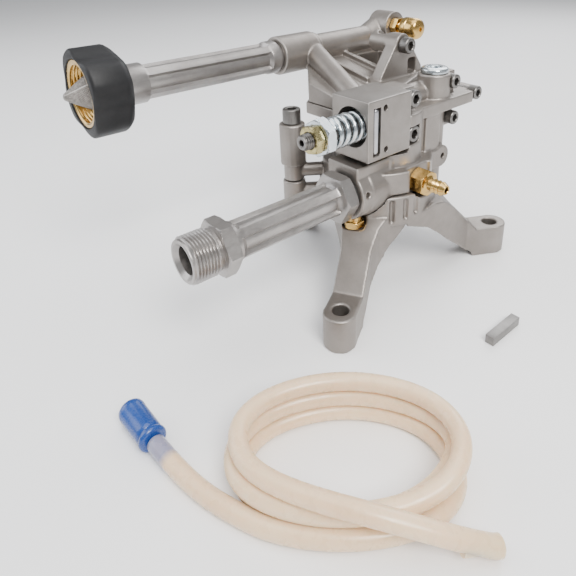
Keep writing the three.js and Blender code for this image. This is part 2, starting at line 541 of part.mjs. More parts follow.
// Horizontal screws, all with their heads towards +X: [name, y, z, seat x, head radius, head height].
const SIDE_SCREWS = [
  ['unloader_screw_upper', 3.2, 108.6, 17.5, 4.6, 6],
  ['unloader_screw_lower', 3.2, 89.4, 17.5, 4.6, 6],
  ['deck_screw_upper', 43.3, 109.6, 13.7, 4.1, 6],
  ['deck_screw_end', 66.3, 98.4, 13.7, 4.1, 6],
  ['deck_screw_lower', 44.2, 88, 13.7, 4.1, 6],
  ['bracket_screw', ...BRACKET.bolt, BRACKET.x[1], 4.7, 5.5],
];
SIDE_SCREWS.forEach(([name, y, z, seat, head, height]) => {
  const screw = socketScrew('x', head, height, 2.4, seat - 9, seat + GAP, [y, z]);
  add(name, screw, DARK_STEEL);
});

// ---------------------------------------------------------------- deck cap
const CAP = { at: COLUMNS[2], seat: 114.6 };
add('deck_cap', turned('z', [
  [0, CAP.seat + GAP], [7.8, CAP.seat + GAP], [7.8, CAP.seat + 2.2], [6.6, CAP.seat + 3.2], [0, CAP.seat + 3.2],
], CAP.at, 28), ZINC);

// ---------------------------------------------------------------- suction hose, its strainer and the shaft key
// The hose lies on the ground. Its coil is one oval ring, and a stretch of tube leaves it at each end.
const hoseFrame = new THREE.Matrix4()
  .makeRotationZ(THREE.MathUtils.degToRad(HOSE.angle))
  .setPosition(...HOSE.centre, 0);

// An oval of four arcs with the given half lengths; reach moves its outline outwards.
function ovalShape([long, short], reach) {
  const side = long - HOSE.end;
  const flat = (side ** 2 + short ** 2 - HOSE.end ** 2) / (2 * (short - HOSE.end));
  const drop = flat - short;
  const corner = Math.atan2(drop, side);
  const shape = new THREE.Shape();
  shape.absarc(side, 0, HOSE.end + reach, -corner, corner);
  shape.absarc(0, -drop, flat + reach, corner, Math.PI - corner);
  shape.absarc(-side, 0, HOSE.end + reach, Math.PI - corner, Math.PI + corner);
  shape.absarc(0, drop, flat + reach, Math.PI + corner, 2 * Math.PI - corner);
  return shape;
}

// Three turns: spread out on the ground in front, and stacked at the back.
function coilSolid(clearance) {
  const outline = ovalShape(HOSE.outer, HOSE.radius + clearance);
  outline.holes.push(ovalShape(HOSE.inner, -HOSE.radius - clearance));
  const depth = STACK.back + clearance;
  const ring = toSolid(new THREE.ExtrudeGeometry(outline, { depth, curveSegments: 8, bevelEnabled: false }));
  const profile = [
    [-60, -1], [60, -1], [60, depth], [STACK.to, depth], [STACK.from, STACK.front + clearance],
    [-60, STACK.front + clearance],
  ];
  const turns = ring.intersect(slab('x', profile, -80, 80));
  return turns.rotate([0, 0, HOSE.angle]).translate([...HOSE.centre, 0]);
}

// The stretches that are not coiled, in the coil's own frame: x along the oval, y across it.
const STRAINER_END = [
  [-74.9, 10, 5.8], [-71.4, 6.2, 5.6], [-65.2, -0.2, 4.5], [-57.7, -7.4, 3.8], [-49.2, -13.9, 3.7],
  [-40.2, -18.2, 3.7], [-31.1, -20.9, 3.7],
];
const BARE_END = [
  [-42.1, -9, 15], [-34.5, -14.8, 17], [-24.1, -19.9, 18], [-11.1, -24.6, 18.1],
  [1.3, -28, 18.1], [11.6, -30.5, 17.5], [20.9, -31.9, 15.2], [29.5, -32.6, 11.8], [36.8, -32.6, 8.2],
  [43.1, -31.9, 5.2], [48.8, -31, 3.8],
];

function hoseTube(points, steps) {
  const section = new THREE.Shape();
  section.absarc(0, 0, HOSE.radius, 0, 2 * Math.PI);
  const path = points.map((point) => new THREE.Vector3(...point).applyMatrix4(hoseFrame));
  const extrudePath = new THREE.CatmullRomCurve3(path, false, 'centripetal');
  const options = { steps, curveSegments: 6, extrudePath, bevelEnabled: false };
  return toSolid(new THREE.ExtrudeGeometry(section, options)).subtract(coilSolid(GAP));
}
add('hose_coil', coilSolid(0), HOSE_AMBER);
add('hose_strainer_end', hoseTube(STRAINER_END, 6), HOSE_AMBER);
add('hose_bare_end', hoseTube(BARE_END, 14), HOSE_AMBER);

function strainer() {
  const { radius, body, heading, spigot } = STRAINER;
  const along = turned('x', [
    [0, 2 * GAP], [radius - 1, 2 * GAP], [radius, 2], [radius, body - 1.5], [radius - 1, body], [0, body],
  ], [0, radius], 24);
  return along.rotate([0, 0, heading]).translate([...spigot, 0]);
}
add('hose_strainer', strainer(), FILTER_BLUE);

const half = KEY.size / 2;
const keySpan = [KEY.at[1] - KEY.length / 2, KEY.at[1] + KEY.length / 2];
add('shaft_key', block([KEY.at[0] - half, KEY.at[0] + half], keySpan, [0, KEY.size]), STEEL);

pump.name = 'pressure_washer_pump';
export default pump;
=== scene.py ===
# Looks of the axial-cam pressure washer pump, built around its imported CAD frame.
# Shapes are written in millimetres and turned into metres where a mesh is made.
import math

import bmesh
import bpy
import numpy as np
from mathutils import Matrix, Vector


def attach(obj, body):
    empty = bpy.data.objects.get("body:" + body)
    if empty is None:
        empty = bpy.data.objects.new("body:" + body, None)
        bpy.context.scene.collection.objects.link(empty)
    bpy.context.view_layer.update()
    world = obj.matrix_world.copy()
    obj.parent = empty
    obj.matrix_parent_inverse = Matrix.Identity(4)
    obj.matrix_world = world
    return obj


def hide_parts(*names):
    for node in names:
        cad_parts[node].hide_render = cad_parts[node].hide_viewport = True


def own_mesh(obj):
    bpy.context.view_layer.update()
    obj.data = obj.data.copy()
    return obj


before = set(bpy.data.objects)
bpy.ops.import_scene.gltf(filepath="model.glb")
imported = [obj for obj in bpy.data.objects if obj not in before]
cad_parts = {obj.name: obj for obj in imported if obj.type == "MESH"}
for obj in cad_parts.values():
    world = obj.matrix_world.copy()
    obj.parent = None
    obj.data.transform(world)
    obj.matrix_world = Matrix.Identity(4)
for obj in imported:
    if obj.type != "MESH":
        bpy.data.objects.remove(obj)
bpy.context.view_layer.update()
MM = 0.001
TAU = 2 * math.pi


# ---------------------------------------------------------------- camera
CAMERA_ANGLES = (49.14, 23.35, -1.43)  # azimuth, elevation and roll, in degrees
CAMERA_PLACE = (196.19, -214.36, 189.57)
CAMERA_LENS = 34.2
CAMERA_SHIFT = (-0.0521, -0.2101)
SENSOR_WIDTH = 36


def make_camera():
    azimuth, elevation, roll = (math.radians(a) for a in CAMERA_ANGLES)
    level = math.cos(elevation)
    back = Vector((math.sin(azimuth) * level, -math.cos(azimuth) * level, math.sin(elevation)))
    right = (-back).cross(Vector((0, 0, 1))).normalized()
    up = right.cross(-back)
    side = right * math.cos(roll) + up * math.sin(roll)
    top = up * math.cos(roll) - right * math.sin(roll)
    data = bpy.data.cameras.new("camera")
    data.sensor_width = SENSOR_WIDTH
    data.lens = CAMERA_LENS
    data.shift_x, data.shift_y = CAMERA_SHIFT
    camera = bpy.data.objects.new("camera", data)
    bpy.context.scene.collection.objects.link(camera)
    turn = Matrix((side, top, back)).transposed().to_4x4()
    camera.matrix_world = Matrix.Translation(Vector(CAMERA_PLACE) * MM) @ turn
    bpy.context.scene.camera = camera


make_camera()


# ---------------------------------------------------------------- materials
class Nodes:
    """A short way to add and join shader nodes."""

    def __init__(self, name):
        self.material = bpy.data.materials.new(name)
        self.material.use_nodes = True
        self.tree = self.material.node_tree
        self.shader = self.tree.nodes["Principled BSDF"]
        self.coords = self.add("ShaderNodeTexCoord").outputs["Object"]

    def add(self, kind, **settings):
        node = self.tree.nodes.new(kind)
        for key, value in settings.items():
            setattr(node, key, value)
        return node

    def join(self, source, target):
        self.tree.links.new(source, target)

    def noise(self, scale, detail=4, roughness=0.55, stretch=None):
        node = self.add("ShaderNodeTexNoise")
        node.inputs["Scale"].default_value = scale
        node.inputs["Detail"].default_value = detail
        node.inputs["Roughness"].default_value = roughness
        source = self.coords
        if stretch:
            mapping = self.add("ShaderNodeMapping")
            mapping.inputs["Scale"].default_value = stretch
            self.join(self.coords, mapping.inputs["Vector"])
            source = mapping.outputs["Vector"]
        self.join(source, node.inputs["Vector"])
        return node.outputs["Fac"]

    def ramp(self, source, stops):
        node = self.add("ShaderNodeValToRGB")
        elements = node.color_ramp.elements
        while len(elements) < len(stops):
            elements.new(0.5)
        for element, (place, color) in zip(elements, stops):
            element.position = place
            element.color = (*color, 1)
        self.join(source, node.inputs["Fac"])
        return node.outputs["Color"]

    def mix(self, kind, factor, a, b):
        node = self.add("ShaderNodeMix", data_type="RGBA", blend_type=kind)
        slots = [s for s in node.inputs if s.type == "RGBA"]
        for source, target in ((factor, node.inputs[0]), (a, slots[0]), (b, slots[1])):
            if isinstance(source, (int, float)):
                target.default_value = source
            elif isinstance(source, tuple):
                target.default_value = (*source, 1)
            else:
                self.join(source, target)
        return [s for s in node.outputs if s.type == "RGBA"][0]

    def spread(self, source, low, high, start=0.3, end=0.7):
        node = self.add("ShaderNodeMapRange")
        for key, value in (("From Min", start), ("From Max", end), ("To Min", low), ("To Max", high)):
            node.inputs[key].default_value = value
        self.join(source, node.inputs["Value"])
        return node.outputs["Result"]

    def bump(self, source, strength, distance, normal=None):
        node = self.add("ShaderNodeBump")
        node.inputs["Strength"].default_value = strength
        node.inputs["Distance"].default_value = distance
        self.join(source, node.inputs["Height"])
        if normal:
            self.join(normal, node.inputs["Normal"])
        return node.outputs["Normal"]


def surface(name, dark, light, patches, rough, metallic, grain, bump, wear_and_crevice_shade=None, stretch=None, **sockets):
    """Colour drifts between dark and light in patches; grain is the fine texture's scale in 1/m. An edge
    wear colour lightens worn convex edges and also darkens hollows with painted crevice shade.
    """
    n = Nodes(name)
    broad = n.noise(patches, 5, 0.6)
    fine = n.noise(grain, 4, 0.6, stretch)
    color = n.ramp(broad, [(0.3, dark), (0.7, light)])
    speck = n.ramp(fine, [(0.3, (0.9, 0.9, 0.9)), (0.7, (1, 1, 1))])
    color = n.mix("MULTIPLY", 1.0, color, speck)
    if wear_and_crevice_shade:
        edge = n.add("ShaderNodeNewGeometry").outputs["Pointiness"]
        color = n.mix("MIX", n.spread(edge, 0.0, 0.75, 0.52, 0.6), color, wear_and_crevice_shade)
        # Painted crevice shade: where pointiness is low, in hollows and inside corners, the colour is
        # multiplied darker to stand in for shade.
        painted_crevice_shade = n.ramp(edge, [(0.42, (0.55, 0.53, 0.52)), (0.495, (1, 1, 1))])
        color = n.mix("MULTIPLY", 1.0, color, painted_crevice_shade)
    n.join(color, n.shader.inputs["Base Color"])
    n.join(n.spread(fine, rough[0], rough[1]), n.shader.inputs["Roughness"])
    n.join(n.bump(fine, bump[0], bump[1] * MM), n.shader.inputs["Normal"])
    n.shader.inputs["Metallic"].default_value = metallic
    for key, value in sockets.items():
        n.shader.inputs[key.replace("_", " ")].default_value = value
    return n.material


CAST = surface("cast_alloy", (0.235, 0.21, 0.19), (0.325, 0.298, 0.275), 45, (0.36, 0.52), 0.82, 1500,
               (0.35, 0.12), wear_and_crevice_shade=(0.52, 0.49, 0.46))
CAST_SMOOTH = surface("cast_alloy_smooth", (0.22, 0.20, 0.18), (0.31, 0.285, 0.265), 60, (0.30, 0.42), 0.85,
                      2200, (0.2, 0.06), wear_and_crevice_shade=(0.6, 0.58, 0.56))
TUBE = surface("tube_alloy", (0.30, 0.28, 0.268), (0.42, 0.40, 0.385), 55, (0.28, 0.42), 0.85, 900,
               (0.2, 0.05), stretch=(1.6, 0.4, 1.6))
ZINC = surface("zinc_plate", (0.55, 0.60, 0.63), (0.74, 0.79, 0.82), 120, (0.16, 0.30), 1.0, 1300,
               (0.12, 0.03))
YELLOW_ZINC = surface("yellow_zinc", (0.36, 0.30, 0.13), (0.60, 0.52, 0.27), 260, (0.20, 0.34), 1.0, 1500,
                      (0.15, 0.03))
BRASS = surface("brass", (0.50, 0.31, 0.095), (0.68, 0.46, 0.165), 130, (0.16, 0.30), 1.0, 1400,
                (0.12, 0.03))
STEEL = surface("ground_steel", (0.36, 0.36, 0.38), (0.50, 0.50, 0.52), 90, (0.25, 0.40), 1.0, 1400,
                (0.15, 0.03))
DARK_STEEL = surface("dark_steel", (0.105, 0.10, 0.095), (0.19, 0.18, 0.17), 190, (0.28, 0.45), 0.9, 1700,
                     (0.2, 0.04), wear_and_crevice_shade=(0.34, 0.33, 0.32))
KNOB_BLACK = surface("moulded_black", (0.010, 0.010, 0.011), (0.020, 0.020, 0.021), 80, (0.42, 0.58), 0.0,
                     2400, (0.35, 0.08), Specular_IOR_Level=0.25)
RUBBER = surface("rubber", (0.012, 0.012, 0.012), (0.025, 0.024, 0.023), 120, (0.6, 0.8), 0.0, 1800,
                 (0.3, 0.08))
MESH_WIRE = surface("woven_wire", (0.12, 0.11, 0.10), (0.34, 0.32, 0.30), 900, (0.35, 0.5), 0.7, 2600,
                    (0.2, 0.05), wear_and_crevice_shade=(0.62, 0.6, 0.58))
BLUE = surface("blue_plastic", (0.008, 0.045, 0.22), (0.012, 0.065, 0.30), 90, (0.22, 0.34), 0.0, 1300,
               (0.12, 0.05), Coat_Weight=0.25, Coat_Roughness=0.2)


def hose_material():
    n = Nodes("soft_pvc")
    broad = n.noise(28, 3, 0.5)
    color = n.ramp(broad, [(0.3, (0.72, 0.52, 0.33)), (0.7, (0.82, 0.63, 0.42))])
    near = n.add("ShaderNodeVectorMath", operation="DISTANCE")
    n.join(n.coords, near.inputs[0])
    near.inputs[1].default_value = (0.0342, -0.163, 0.0058)
    color = n.mix("MIX", n.spread(near.outputs["Value"], 0.72, 0.0, 0.010, 0.0135), color,
                  (0.05, 0.12, 0.33))
    streak = n.noise(260, 2, 0.5)
    n.join(color, n.shader.inputs["Base Color"])
    n.join(n.spread(streak, 0.22, 0.36), n.shader.inputs["Roughness"])
    n.join(n.bump(streak, 0.12, 0.12 * MM), n.shader.inputs["Normal"])
    n.shader.inputs["Subsurface Weight"].default_value = 0.55
    n.shader.inputs["Subsurface Radius"].default_value = (0.006, 0.004, 0.0025)
    n.shader.inputs["Subsurface Scale"].default_value = 0.9
    n.shader.inputs["Coat Weight"].default_value = 0.2
    n.shader.inputs["Coat Roughness"].default_value = 0.25
    return n.material


PVC = hose_material()


# ---------------------------------------------------------------- mesh helpers
def finish_piece(name, verts, faces, material, body, stands_for=(), sharp=32):
    """Makes a closed mesh object from points in millimetres and lets it ride on a CAD body."""
    mesh = bpy.data.meshes.new(name)
    mesh.from_pydata([tuple(np.array(v) * MM) for v in verts], [], faces)
    bm = bmesh.new()
    bm.from_mesh(mesh)
    bmesh.ops.remove_doubles(bm, verts=bm.verts, dist=1e-7)
    bmesh.ops.dissolve_degenerate(bm, edges=bm.edges, dist=1e-8)
    bmesh.ops.recalc_face_normals(bm, faces=bm.faces)
    bm.to_mesh(mesh)
    bm.free()
    return adopt(name, mesh, material, body, stands_for, sharp)


def adopt(name, mesh, material, body, stands_for=(), sharp=32):
    mesh.polygons.foreach_set("use_smooth", [True] * len(mesh.polygons))
    mesh.set_sharp_from_angle(angle=math.radians(sharp))
    mesh.materials.clear()
    mesh.materials.append(material)
    obj = bpy.data.objects.new(name, mesh)
    bpy.context.scene.collection.objects.link(obj)
    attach(obj, body)
    if stands_for:
        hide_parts(*stands_for)
    return obj


def place(axis, centre, station, radius, angle):
    a, b = centre[0] + radius * math.cos(angle), centre[1] + radius * math.sin(angle)
    return {"x": (station, a, b), "y": (a, station, b), "z": (a, b, station)}[axis]


def revolve(axis, centre, rings, sides=96, closed=False):
    """Points and faces of a body about an axis. A ring is (station, radius), and a radius may be a
    function of the angle. An open profile starts and ends at radius 0; a closed one joins up."""
    verts, faces = [], []
    for station, radius in rings:
        for i in range(sides):
            angle = TAU * i / sides
            r = radius(angle) if callable(radius) else radius
            verts.append(place(axis, centre, station, r, angle))
    last = len(rings) if closed else len(rings) - 1
    for k in range(last):
        a, b = k * sides, (k + 1) % len(rings) * sides
        for i in range(sides):
            j = (i + 1) % sides
            faces.append((a + i, a + j, b + j, b + i))
    return verts, faces


def turned(name, axis, centre, rings, material, body, stands_for=(), sides=96, closed=False,
           sharp=32):
    verts, faces = revolve(axis, centre, rings, sides, closed)
    return finish_piece(name, verts, faces, material, body, stands_for, sharp)


def hexagon(flats, corner=0.0, limit=None):
    """Radius of a hexagon at an angle, cut off at a limit as a chamfer does. corner is a corner's angle."""
    def radius(angle):
        turn = (angle - math.radians(corner)) % (TAU / 6) - TAU / 12
        r = flats / 2 / math.cos(turn)
        return min(r, limit) if limit else r
    return radius


def nut_rings(flats, start, end, corner=0.0, chamfer=0.6, steps=5):
    """Rings of a hexagon between two stations with its corners turned off at both ends."""
    full = flats / math.sqrt(3)
    face = flats / 2 * 0.97
    def at(depth):
        return hexagon(flats, corner, face + (full - face) * min(1, depth / chamfer) ** 0.6)
    depths = [chamfer * i / steps for i in range(steps + 1)]
    return [(start + d, at(d)) for d in depths] + [(end - d, at(d)) for d in reversed(depths)]


def thread_rings(radius, depth, pitch, start, end, per_pitch=8, handed=1):
    """Rings of a screw thread between two stations, its crests at the given radius."""
    count = max(2, round((end - start) / pitch * per_pitch))
    def at(station):
        def r(angle):
            phase = (station / pitch - handed * angle / TAU) % 1
            wave = abs(2 * phase - 1)
            ends = min(1, (station - start) / pitch * 1.5, (end - station) / pitch * 1.5)
            return radius - depth * (1 - min(1, max(0, 1.35 * wave - 0.15)) * max(0.0, ends))
        return r
    stations = [start + (end - start) * i / count for i in range(count + 1)]
    return [(station, at(station)) for station in stations]


def sweep(points, radius, sides=28, bore=None, bore_depth=0.0):
    """A round tube along points in millimetres, with flat ends. A bore opens its last end."""
    path = np.array(points, float)
    tangents = np.gradient(path, axis=0)
    tangents /= np.linalg.norm(tangents, axis=1)[:, None]
    normal = np.cross(tangents[0], (0.0, 0.0, 1.0))
    verts, rings = [], []

    def ring(centre, tangent, normal, r):
        other = np.cross(tangent, normal)
        start = len(verts)
        for i in range(sides):
            a = TAU * i / sides
            verts.append(centre + r * (math.cos(a) * normal + math.sin(a) * other))
        rings.append(start)

    soft = radius * 0.12
    for k, (centre, tangent) in enumerate(zip(path, tangents)):
        normal = normal - tangent * np.dot(normal, tangent)
        normal /= np.linalg.norm(normal)
        if k == 0:
            ring(centre, tangent, normal, radius - soft)
            ring(centre + tangent * soft, tangent, normal, radius)
        elif k == len(path) - 1:
            ring(centre - tangent * soft, tangent, normal, radius)
            ring(centre, tangent, normal, radius - soft)
            if bore:
                ring(centre, tangent, normal, bore)
                ring(centre - tangent * bore_depth, tangent, normal, bore * 0.98)
        else:
            ring(centre, tangent, normal, radius)
    faces = []
    for a, b in zip(rings, rings[1:]):
        for i in range(sides):
            j = (i + 1) % sides
            faces.append((a + i, a + j, b + j, b + i))
    faces.append(tuple(range(rings[0] + sides - 1, rings[0] - 1, -1)))
    faces.append(tuple(range(rings[-1], rings[-1] + sides)))
    return verts, faces


# ---------------------------------------------------------------- suction hose
HOSE_RADIUS = 3.7
HOSE_BORE = 2.6
HOSE_CENTRE = (91.2, -113.1)
HOSE_ANGLE = math.radians(49)
END_RADIUS = 21.0
FIRST_DEGREE, LAST_DEGREE, DEGREE_STEP = 256, 1250, 9
# How the three turns change along their run, as (degrees, millimetres).
HEIGHTS = [(256, 3.7), (630, 3.7), (720, 8.5), (810, 11.1), (900, 10.5), (990, 10.1), (1080, 15.5),
           (1170, 18.5), (1250, 16.8)]
LONG_HALVES = [(360, 45), (540, 45), (720, 46), (900, 46), (1080, 46.5)]
SHORT_HALVES = [(270, 29), (450, 27.6), (630, 21.8), (810, 28), (990, 25.5), (1170, 28.4)]
SPIGOT = (34.2, -163.0)
STRAINER_RADIUS = 5.8
STRAINER_HEADING = math.radians(181)
STRAINER_END = [
    (-74.9, 10, 5.8), (-71.4, 6.2, 5.6), (-65.2, -0.2, 4.5), (-57.7, -7.4, 3.8), (-49.2, -13.9, 3.7),
    (-40.2, -18.2, 3.7), (-31.1, -20.9, 3.7),
]
BARE_END = [
    (-42.1, -9, 15), (-34.5, -14.8, 17), (-24.1, -19.9, 18), (-11.1, -24.6, 18.1), (1.3, -28, 18.1),
    (11.6, -30.5, 17.5), (20.9, -31.9, 15.2), (29.5, -32.6, 11.8), (36.8, -32.6, 8.2), (43.1, -31.9, 5.2),
    (48.8, -31, 3.8),
]


def oval_point(half, angle):
    """The point of a four-arc oval where its outward normal has this angle."""
    side = half[0] - END_RADIUS
    flat = (side ** 2 + half[1] ** 2 - END_RADIUS ** 2) / (2 * (half[1] - END_RADIUS))
    drop = flat - half[1]
    c, s = math.cos(angle), math.sin(angle)
    if abs(s) < math.sin(math.atan2(drop, side)):
        return np.array((math.copysign(side, c) + END_RADIUS * c, END_RADIUS * s))
    return np.array((flat * c, flat * s - math.copysign(drop, s)))


def at_degree(table, degrees):
    """The value of a (degrees, millimetres) table at an angle."""
    return float(np.interp(degrees, *zip(*table)))


def hose_turns():
    """Three turns from the strainer's end: spread out on the ground in front, stacked at the back."""
    points = []
    for degrees in range(FIRST_DEGREE, LAST_DEGREE, DEGREE_STEP):
        half = (at_degree(LONG_HALVES, degrees), at_degree(SHORT_HALVES, degrees))
        points.append((*oval_point(half, math.radians(degrees)), at_degree(HEIGHTS, degrees)))
    return points


def resample(points, step):
    """Points an equal step apart on a smooth curve through the given ones."""
    p = np.array(points, float)
    dense = []
    for k in range(len(p) - 1):
        a, b = p[max(k - 1, 0)], p[min(k + 2, len(p) - 1)]
        for t in np.linspace(0, 1, 12, endpoint=False):
            dense.append(0.5 * (2 * p[k] + (p[k + 1] - a) * t
                                + (2 * a - 5 * p[k] + 4 * p[k + 1] - b) * t ** 2
                                + (3 * p[k] - a - 3 * p[k + 1] + b) * t ** 3))
    dense = np.array(dense + [p[-1]])
    run = np.concatenate([[0], np.cumsum(np.linalg.norm(np.diff(dense, axis=0), axis=1))])
    stations = np.linspace(0, run[-1], int(round(run[-1] / step)) + 1)
    return np.stack([np.interp(stations, run, dense[:, i]) for i in range(3)], axis=1)


def settle(points, rounds=260):
    """Lets the turns push each other apart until they only touch, on the ground and still smooth."""
    step = 2.5
    p = resample(points, step)
    wanted = p.copy()
    apart = 2 * HOSE_RADIUS + 0.12
    near = int(math.pi * apart / step)
    index = np.arange(len(p))
    far = np.abs(index[:, None] - index[None, :]) > near
    for _ in range(rounds):
        gap = p[:, None, :] - p[None, :, :]
        distance = np.linalg.norm(gap, axis=2) + 1e-9
        push = np.where(far & (distance < apart), (apart - distance) / distance * 0.25, 0)
        p = p + (gap * push[:, :, None]).sum(axis=1)
        p[2:-2] += (p[1:-3] + p[3:-1] - 2 * p[2:-2]) * 0.22 + (wanted[2:-2] - p[2:-2]) * 0.01
        p[:, 2] = np.maximum(p[:, 2], HOSE_RADIUS)
        p[:2] = wanted[:2]
    return p


def to_ground(points):
    c, s = math.cos(HOSE_ANGLE), math.sin(HOSE_ANGLE)
    p = np.array(points)
    return np.stack([HOSE_CENTRE[0] + c * p[:, 0] - s * p[:, 1],
                     HOSE_CENTRE[1] + s * p[:, 0] + c * p[:, 1], p[:, 2]], axis=1)


hose_path = to_ground(settle(STRAINER_END + hose_turns() + BARE_END))
hose_verts, hose_faces = sweep(resample(hose_path, 2.0), HOSE_RADIUS, 32, bore=HOSE_BORE, bore_depth=14)
hose = finish_piece("suction_hose", hose_verts, hose_faces, PVC, "hose",
                    ("hose_coil", "hose_strainer_end", "hose_bare_end"), 50)


def strainer():
    """The blue strainer: a ring flange by the hose, then a smooth body with a dished end."""
    rings = [(0.6, 0), (0.6, 4.7), (0.8, 5.2), (1.2, 5.6), (1.7, 5.8), (2.5, 5.8), (3.0, 5.6), (3.3, 5.1),
             (3.6, 4.8), (4.1, 4.8), (4.5, 5.1), (5.2, 5.35), (6.0, 5.45), (18.6, 5.55), (19.0, 5.7),
             (20.4, 5.7), (21.4, 5.45), (22.1, 4.9), (22.5, 4.2), (22.5, 3.0), (21.9, 2.7), (21.7, 0)]
    verts, faces = revolve("x", (0, STRAINER_RADIUS), rings, 96)
    c, s = math.cos(STRAINER_HEADING), math.sin(STRAINER_HEADING)
    moved = [(SPIGOT[0] + c * x - s * y, SPIGOT[1] + s * x + c * y, z) for x, y, z in verts]
    return finish_piece("hose_strainer_body", moved, faces, BLUE, "hose",
                        ("hose_strainer",), 30)


strainer()


# ---------------------------------------------------------------- castings
def casting(name, node, material, voxel, rounds, body="pump_body"):
    """A CAD casting with its edges rounded as a mould leaves them."""
    source = bpy.data.objects.new("source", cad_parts[node].data.copy())
    bpy.context.scene.collection.objects.link(source)
    remesh = source.modifiers.new("remesh", "REMESH")
    remesh.mode = "VOXEL"
    remesh.voxel_size = voxel * MM
    smooth = source.modifiers.new("smooth", "SMOOTH")
    smooth.factor = 0.5
    smooth.iterations = rounds
    bpy.context.view_layer.update()
    evaluated = source.evaluated_get(bpy.context.evaluated_depsgraph_get())
    mesh = bpy.data.meshes.new_from_object(evaluated)
    mesh.name = name
    bpy.data.objects.remove(source)
    return adopt(name, mesh, material, body, (node,), 60)


casting("case_casting", "crankcase", CAST, 0.62, 5)
casting("head_casting", "cylinder_head", CAST, 0.62, 4)
casting("manifold_casting", "inlet_manifold", CAST, 0.62, 5)
casting("unloader_body", "unloader_block", CAST_SMOOTH, 0.36, 3)

# ---------------------------------------------------------------- outlet and inlet tubes
def ribbed(core=6.9, rib=8.8, width=4.2):
    """Radius of a tube with two crossed flat ribs."""
    def radius(angle):
        off = (angle % (TAU / 4)) - TAU / 8
        if abs(off) < math.atan2(width / 2, rib):
            return rib / math.cos(off)
        return max(core, width / 2 / abs(math.sin(off)))
    return radius


def blended(a, b, share):
    """A radius part of the way from one ring's to another's."""
    def value(f, angle):
        return f(angle) if callable(f) else f
    return lambda angle: value(a, angle) * (1 - share) + value(b, angle) * share


OUTLET = (11.0, 63.4)
outlet_rings = [(-28, 4.5), (-108.5, 4.5), (-109.3, 6.6), (-128.6, 6.6), (-130.2, 8.2), (-130.5, 8.5),
                (-130.5, 9.7), (-130.3, 10.0)]
outlet_rings += thread_rings(11.0, 0.95, 1.5, -129.9, -117.2)
outlet_rings += [(-116.6, 9.9), (-115.7, 9.9), (-115.5, 10.4)]
outlet_rings += nut_rings(24, -115.5, -108.5, 0, 0.9)
outlet_rings += [(-108.5, 9.9), (-108.2, 9.6), (-105.6, 9.6), (-104.6, blended(9.6, ribbed(), 0.4)),
                 (-103.6, blended(9.6, ribbed(), 0.8)), (-102.6, ribbed()), (-47.4, ribbed()),
                 (-46.4, blended(9.6, ribbed(), 0.5)), (-46.0, 9.9)]
outlet_rings += nut_rings(24, -46, -38.5, 0, 0.9)
outlet_rings += [(-38.5, 8.6), (-38.2, 8.3), (-28, 8.3)]
turned("outlet_pipe", "y", OUTLET, outlet_rings, TUBE, "pump_body", ("outlet_tube",), 192,
       True, 28)

INLET = (-62.0, 122.5)
inlet_rings = [(-5, 5.2), (-124.2, 5.2), (-124.5, 5.5), (-124.5, 12.9), (-124.2, 13.2), (-121.1, 13.2),
               (-120.8, 12.9), (-120.8, 10.3), (-120.5, 10), (-105.6, 10), (-105.0, 9.7),
               (-104.6, blended(9.7, ribbed(), 0.5)), (-103.8, ribbed()), (-31.2, ribbed()),
               (-30.4, blended(9.2, ribbed(), 0.5)), (-29.8, 9.2), (-29.3, 9.4), (-24.2, 9.4), (-24, 9.2),
               (-24, 8.3), (-23.8, 8.1), (-5.2, 8.1), (-5, 7.9)]
turned("inlet_pipe", "y", INLET, inlet_rings, TUBE, "pump_body", ("inlet_tube",), 192, True,
       28)


# ---------------------------------------------------------------- inlet coupling
LOBE_ANGLE = math.radians(30)


def lobed(low, high):
    """Radius of the four-lobed grip: narrow lobes with hollow sides between them."""
    def radius(angle):
        off = abs((angle - LOBE_ANGLE) % (TAU / 4) - TAU / 8)
        share = off / (TAU / 8)
        painted_crevice_shade = max(0.0, min(1.0, (0.80 - share) / 0.80))
        wave = painted_crevice_shade * painted_crevice_shade * (3 - 2 * painted_crevice_shade)
        return high - (high - low) * wave
    return radius


def knob():
    low, high = 17.4, 21.4
    def at(inset):
        return lobed(low - inset * 0.4, high - inset)
    rings = [(-135.4, 16.3), (-136, 16.6), (-136, lobed(17.0, 19.8)), (-135.7, at(0.8)), (-135.2, at(0.3)),
             (-134.4, at(0)), (-120.4, at(0)), (-119.2, at(0.5)), (-117.4, at(2.1)), (-116.8, at(2.9)),
             (-116.5, lobed(16.2, 17.4)), (-116.5, 10.7), (-116.8, 10.4), (-120.2, 10.4), (-120.2, 16.3)]
    return turned("inlet_grip", "y", INLET, rings, KNOB_BLACK, "inlet_coupling",
                  ("inlet_knob",), 192, True, 35)


knob()
insert_rings = [(-124.9, 16.22), (-135.1, 16.22), (-135.4, 15.9), (-135.4, 14.6), (-135.1, 14.3)]
insert_rings += thread_rings(14.4, 0.7, 1.6, -134.9, -125.4) + [(-124.9, 14.4)]
turned("thread_insert", "y", INLET, insert_rings, BRASS, "inlet_coupling",
       ("inlet_thread_insert",), 120, True)


def filter_cone():
    """The cone of woven wire, its wires raised by the weave."""
    def woven(base, station):
        def radius(angle):
            around = math.sin(34 * angle)
            along = math.sin(TAU * station / 1.0)
            return base + 0.2 * around * along * min(1, base / 5)
        return radius
    rings = [(-127.5, 5.0), (-127.5, 11.4), (-127.7, 11.6), (-128.5, 11.6), (-128.7, 11.4), (-128.7, 9.9)]
    steps = 96
    for i in range(steps + 1):
        station = -128.8 - 12.6 * i / steps
        base = 9.6 - 7.4 * i / steps
        rings.append((station, woven(base, station)))
    rings += [(-142.0, 1.9), (-142.6, 1.5), (-143.0, 0.7), (-143.0, 0), (-140.8, 0.0), (-128.7, 8.0),
              (-128.6, 5.0)]
    verts, faces = revolve("y", INLET, rings, 204, True)
    return finish_piece("inlet_screen", verts, faces, MESH_WIRE, "pump_body",
                        ("inlet_filter",), 40)


filter_cone()

